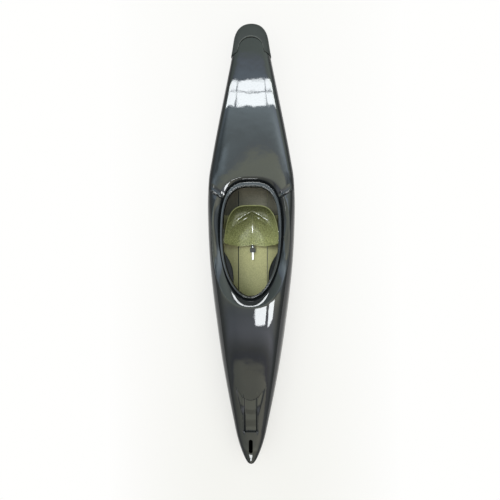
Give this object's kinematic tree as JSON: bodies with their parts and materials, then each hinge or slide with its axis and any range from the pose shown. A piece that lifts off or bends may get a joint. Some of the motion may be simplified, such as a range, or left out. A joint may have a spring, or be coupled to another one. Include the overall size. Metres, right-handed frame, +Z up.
{
  "type": "canoe polo kayak",
  "caption": "Short flat-bottomed kayak with a deep cockpit, a hung bucket seat on a floor rail, thigh braces, a sliding footrest, a soft stern cap and a sunk bow scoop.",
  "frame": {"origin": "middle of the bounding box in plan, at the height of the flat bottom", "axes": "+Z up, +Y towards the stern, -Y towards the bow, +X towards the paddler's left"},
  "size_m": [0.5958, 3, 0.2878],
  "materials": {
    "deck_laminate": "gloss gel coat over dark woven laminate",
    "hull_laminate": "gloss gel coat",
    "seam": "gloss resin over a woven band",
    "bumper": "matt",
    "seat_laminate": "glossy olive weave",
    "floor_laminate": "satin olive weave",
    "rear_floor_laminate": "satin dark weave",
    "black_laminate": "satin",
    "black_plastic": "satin",
    "foam": "matt closed-cell foam",
    "alloy": "brushed",
    "dark_metal": "dark anodised",
    "steel": "bright"
  },
  "bodies": {
    "boat": {"hull_shell": "hull_laminate", "deck_shell": "deck_laminate", "seam_band": "seam", "cockpit_coaming": "deck_laminate", "stern_bumper": "bumper", "bow_slot_well": "black_laminate", "seat_bolt_left_rear": "steel", "seat_bolt_left_front": "steel", "seat_bolt_right_rear": "steel", "seat_bolt_right_front": "steel", "seat_rail": "steel", "floor_liner": "floor_laminate", "rear_floor_liner": "rear_floor_laminate", "floor_strip_left": "black_laminate", "floor_strip_right": "black_laminate", "thigh_brace_left": "black_laminate", "thigh_brace_right": "black_laminate", "footrest_rail_left": "alloy", "footrest_rail_right": "alloy", "footrest_pad_left": "foam", "footrest_pad_right": "foam", "footrest_screw_left_rear": "steel", "footrest_screw_left_front": "steel", "footrest_screw_right_rear": "steel", "footrest_screw_right_front": "steel", "stern_foam_pillar": "foam", "bow_foam_pillar": "foam"},
    "seat": {"seat_shell": "seat_laminate", "seat_hanger_left": "alloy", "seat_hanger_right": "alloy", "seat_clamp_block": "dark_metal"},
    "seat_clamp": {"seat_clamp_bolt": "steel"},
    "footrest": {"footrest_plate": "alloy", "footrest_shoe_left": "black_plastic", "footrest_shoe_right": "black_plastic"},
    "knob_left": {"footrest_knob_left": "black_plastic"},
    "knob_right": {"footrest_knob_right": "black_plastic"}
  },
  "joints": [
    {"name": "seat_slide", "type": "slide", "parent": "boat", "child": "seat", "axis": [0, 1, 0], "range_m": [-0.02, 0.02]},
    {"name": "seat_clamp_turn", "type": "hinge", "parent": "seat", "child": "seat_clamp", "pos_m": [0, -0.0185, 0.025], "axis": [0, 0, 1], "range_deg": [0, 360]},
    {"name": "footrest_slide", "type": "slide", "parent": "boat", "child": "footrest", "axis": [0, 1, 0], "range_m": [-0.1, 0.1]},
    {"name": "knob_left_turn", "type": "hinge", "parent": "footrest", "child": "knob_left", "pos_m": [0.108, -0.766, 0.105], "axis": [1, 0, 0], "range_deg": [0, 360]},
    {"name": "knob_right_turn", "type": "hinge", "parent": "footrest", "child": "knob_right", "pos_m": [-0.108, -0.766, 0.105], "axis": [-1, 0, 0], "range_deg": [0, 360]}
  ]
}
